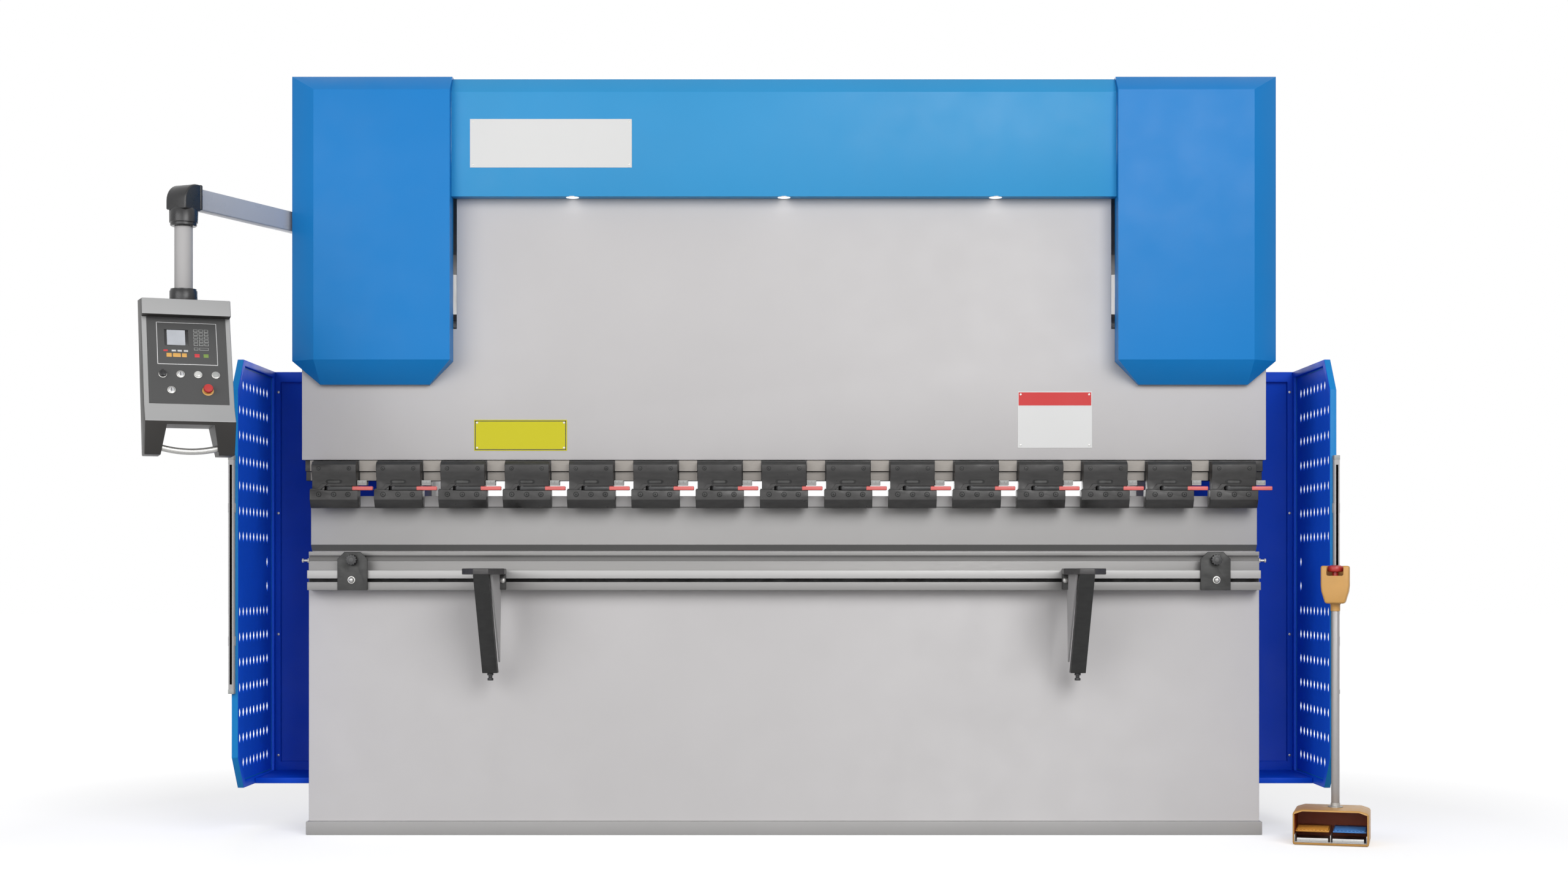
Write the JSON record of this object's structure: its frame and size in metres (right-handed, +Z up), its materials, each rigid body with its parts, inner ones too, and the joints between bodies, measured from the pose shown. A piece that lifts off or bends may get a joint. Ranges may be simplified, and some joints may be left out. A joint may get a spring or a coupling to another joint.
{
  "type": "press brake",
  "caption": "Hydraulic press brake with torsion bar, clamp row, swing-arm control, side guards, front supports and dual foot switch.",
  "frame": {"origin": "floor under the middle of the bed, on the underside of its foot", "axes": "+X along the bed to the operator's right, +Y from the operator to the back, +Z up"},
  "size_m": [3.9798, 1.9424, 2.543],
  "materials": {
    "lever_red": "moulded grip",
    "cover_blue": "satin paint",
    "guard_blue": "satin paint",
    "machine_grey": "fine texture paint",
    "charcoal_steel": "blackened",
    "black_plastic": "moulded",
    "rail_aluminium": "extruded",
    "rod_chrome": "ground",
    "bright_steel": "machined",
    "pendant_grey": "fine texture paint",
    "stop_red": "moulded",
    "switch_orange": "moulded",
    "pedal_blue": "moulded"
  },
  "bodies": {
    "frame": {"side_frame_left": "machine_grey", "side_frame_right": "machine_grey", "worktable": "machine_grey", "oil_tank": "machine_grey", "motor_pump": "charcoal_steel", "cylinder_left": "charcoal_steel", "cylinder_right": "charcoal_steel", "cylinder_cover_left": "cover_blue", "cylinder_cover_right": "cover_blue", "beam_cover": "cover_blue", "electric_cabinet": "machine_grey", "gauge_rails": "charcoal_steel", "front_rail": "rail_aluminium", "rail_bracket_left": "charcoal_steel", "rail_bracket_right": "charcoal_steel", "guard_panel_left": "guard_blue", "guard_panel_right": "guard_blue", "foot_switch_housing": "switch_orange", "foot_stop_post": "switch_orange"},
    "ram": {"ram": "machine_grey", "tool_clamps": "charcoal_steel", "piston_rod_left": "rod_chrome", "piston_rod_right": "rod_chrome", "link_left": "bright_steel", "link_right": "bright_steel"},
    "torsion": {"torsion_bar": "bright_steel"},
    "guard_left": {"guard_door_left": "guard_blue", "light_post_left": "rail_aluminium"},
    "guard_right": {"guard_door_right": "guard_blue", "light_post_right": "rail_aluminium"},
    "support_left": {"support_arm_left": "charcoal_steel"},
    "support_right": {"support_arm_right": "charcoal_steel"},
    "knob_left": {"star_knob_left": "black_plastic"},
    "knob_right": {"star_knob_right": "black_plastic"},
    "arm": {"pendant_arm": "rail_aluminium"},
    "pendant": {"pendant_housing": "pendant_grey"},
    "pendant_stop": {"pendant_stop_button": "stop_red"},
    "selector": {"pendant_selector": "black_plastic"},
    "pedal_a": {"pedal_left": "switch_orange"},
    "pedal_b": {"pedal_right": "pedal_blue"},
    "foot_stop": {"foot_stop_button": "stop_red"},
    "gauge": {"gauge_beam": "machine_grey"},
    "finger_left": {"gauge_finger_left": "bright_steel"},
    "finger_right": {"gauge_finger_right": "bright_steel"},
    "cabinet_door": {"cabinet_door": "machine_grey"},
    "lever_01": {"clamp_lever_01": "lever_red"},
    "lever_02": {"clamp_lever_02": "lever_red"},
    "lever_03": {"clamp_lever_03": "lever_red"},
    "lever_04": {"clamp_lever_04": "lever_red"},
    "lever_05": {"clamp_lever_05": "lever_red"},
    "lever_06": {"clamp_lever_06": "lever_red"},
    "lever_07": {"clamp_lever_07": "lever_red"},
    "lever_08": {"clamp_lever_08": "lever_red"},
    "lever_09": {"clamp_lever_09": "lever_red"},
    "lever_10": {"clamp_lever_10": "lever_red"},
    "lever_11": {"clamp_lever_11": "lever_red"},
    "lever_12": {"clamp_lever_12": "lever_red"},
    "lever_13": {"clamp_lever_13": "lever_red"},
    "lever_14": {"clamp_lever_14": "lever_red"},
    "lever_15": {"clamp_lever_15": "lever_red"}
  },
  "joints": [
    {"name": "ram_slide", "type": "slide", "parent": "frame", "child": "ram", "axis": [0, 0, 1], "range_m": [0, 0.12]},
    {"name": "torsion_turn", "type": "hinge", "parent": "frame", "child": "torsion", "pos_m": [0, 0.33, 1.7505], "axis": [-1, 0, 0], "range_deg": [0, 31.67]},
    {"name": "lever_01_swing", "type": "hinge", "parent": "ram", "child": "lever_01", "pos_m": [-1.522, -0.0815, 1.1636], "axis": [0, 0, -1], "range_deg": [0, 85]},
    {"name": "lever_02_swing", "type": "hinge", "parent": "ram", "child": "lever_02", "pos_m": [-1.307, -0.0815, 1.1636], "axis": [0, 0, -1], "range_deg": [0, 85]},
    {"name": "lever_03_swing", "type": "hinge", "parent": "ram", "child": "lever_03", "pos_m": [-1.092, -0.0815, 1.1636], "axis": [0, 0, -1], "range_deg": [0, 85]},
    {"name": "lever_04_swing", "type": "hinge", "parent": "ram", "child": "lever_04", "pos_m": [-0.877, -0.0815, 1.1636], "axis": [0, 0, -1], "range_deg": [0, 85]},
    {"name": "lever_05_swing", "type": "hinge", "parent": "ram", "child": "lever_05", "pos_m": [-0.662, -0.0815, 1.1636], "axis": [0, 0, -1], "range_deg": [0, 85]},
    {"name": "lever_06_swing", "type": "hinge", "parent": "ram", "child": "lever_06", "pos_m": [-0.447, -0.0815, 1.1636], "axis": [0, 0, -1], "range_deg": [0, 85]},
    {"name": "lever_07_swing", "type": "hinge", "parent": "ram", "child": "lever_07", "pos_m": [-0.232, -0.0815, 1.1636], "axis": [0, 0, -1], "range_deg": [0, 85]},
    {"name": "lever_08_swing", "type": "hinge", "parent": "ram", "child": "lever_08", "pos_m": [-0.017, -0.0815, 1.1636], "axis": [0, 0, -1], "range_deg": [0, 85]},
    {"name": "lever_09_swing", "type": "hinge", "parent": "ram", "child": "lever_09", "pos_m": [0.198, -0.0815, 1.1636], "axis": [0, 0, -1], "range_deg": [0, 85]},
    {"name": "lever_10_swing", "type": "hinge", "parent": "ram", "child": "lever_10", "pos_m": [0.413, -0.0815, 1.1636], "axis": [0, 0, -1], "range_deg": [0, 85]},
    {"name": "lever_11_swing", "type": "hinge", "parent": "ram", "child": "lever_11", "pos_m": [0.628, -0.0815, 1.1636], "axis": [0, 0, -1], "range_deg": [0, 85]},
    {"name": "lever_12_swing", "type": "hinge", "parent": "ram", "child": "lever_12", "pos_m": [0.843, -0.0815, 1.1636], "axis": [0, 0, -1], "range_deg": [0, 85]},
    {"name": "lever_13_swing", "type": "hinge", "parent": "ram", "child": "lever_13", "pos_m": [1.058, -0.0815, 1.1636], "axis": [0, 0, -1], "range_deg": [0, 85]},
    {"name": "lever_14_swing", "type": "hinge", "parent": "ram", "child": "lever_14", "pos_m": [1.273, -0.0815, 1.1636], "axis": [0, 0, -1], "range_deg": [0, 85]},
    {"name": "lever_15_swing", "type": "hinge", "parent": "ram", "child": "lever_15", "pos_m": [1.488, -0.0815, 1.1636], "axis": [0, 0, -1], "range_deg": [0, 85]},
    {"name": "guard_left_swing", "type": "hinge", "parent": "frame", "child": "guard_left", "pos_m": [-1.824, 0.35, 0.163], "axis": [0, 0, -1], "range_deg": [0, 90]},
    {"name": "support_left_slide", "type": "slide", "parent": "frame", "child": "support_left", "axis": [1, 0, 0], "range_m": [-0.34, 0.82]},
    {"name": "knob_left_turn", "type": "hinge", "parent": "frame", "child": "knob_left", "pos_m": [-1.44, -0.1089, 0.924], "axis": [0, 1, 0], "continuous": true},
    {"name": "finger_left_slide", "type": "slide", "parent": "gauge", "child": "finger_left", "axis": [-1, 0, 0], "range_m": [-0.38, 0.6]},
    {"name": "guard_right_swing", "type": "hinge", "parent": "frame", "child": "guard_right", "pos_m": [1.824, 0.35, 0.163], "axis": [0, 0, 1], "range_deg": [0, 90]},
    {"name": "support_right_slide", "type": "slide", "parent": "frame", "child": "support_right", "axis": [-1, 0, 0], "range_m": [-0.34, 0.82]},
    {"name": "knob_right_turn", "type": "hinge", "parent": "frame", "child": "knob_right", "pos_m": [1.44, -0.1089, 0.924], "axis": [0, 1, 0], "continuous": true},
    {"name": "finger_right_slide", "type": "slide", "parent": "gauge", "child": "finger_right", "axis": [1, 0, 0], "range_m": [-0.38, 0.6]},
    {"name": "pendant_arm_swing", "type": "hinge", "parent": "frame", "child": "arm", "pos_m": [-1.389, 0.6, 2.03], "axis": [0, 0, -1], "range_deg": [0, 75]},
    {"name": "pendant_swivel", "type": "hinge", "parent": "arm", "child": "pendant", "pos_m": [-1.889, -0.52, 1.9], "axis": [0, 0, 1], "range_deg": [-60, 60]},
    {"name": "pendant_stop_push", "type": "slide", "parent": "pendant", "child": "pendant_stop", "axis": [-0.3064, 0.8417, -0.4446], "range_m": [0, 0.005]},
    {"name": "selector_turn", "type": "hinge", "parent": "pendant", "child": "selector", "pos_m": [-1.90054, -0.71021, 1.48806], "axis": [-0.3064, 0.8417, -0.4446], "range_deg": [-45, 45]},
    {"name": "pedal_left_press", "type": "hinge", "parent": "frame", "child": "pedal_a", "pos_m": [1.81185, -0.18442, 0.04], "axis": [0.9583, -0.2857, 0], "range_deg": [0, 8], "stiffness_Nm_per_rad": 12, "springref_deg": -6.88},
    {"name": "pedal_right_press", "type": "hinge", "parent": "frame", "child": "pedal_b", "pos_m": [1.81185, -0.18442, 0.04], "axis": [0.9583, -0.2857, 0], "range_deg": [0, 8], "stiffness_Nm_per_rad": 12, "springref_deg": -6.88},
    {"name": "foot_stop_push", "type": "slide", "parent": "frame", "child": "foot_stop", "axis": [0, 0, -1], "range_m": [0, 0.006]},
    {"name": "gauge_slide", "type": "slide", "parent": "frame", "child": "gauge", "axis": [0, 1, 0], "range_m": [-0.15, 0.32]},
    {"name": "cabinet_door_swing", "type": "hinge", "parent": "frame", "child": "cabinet_door", "pos_m": [1.5726, 1.06, 0.9], "axis": [0, 0, 1], "range_deg": [0, 100]}
  ],
  "couplings": [
    {"joint": "torsion_turn", "follows": "ram_slide", "rad_per_m": 4.6038}
  ]
}
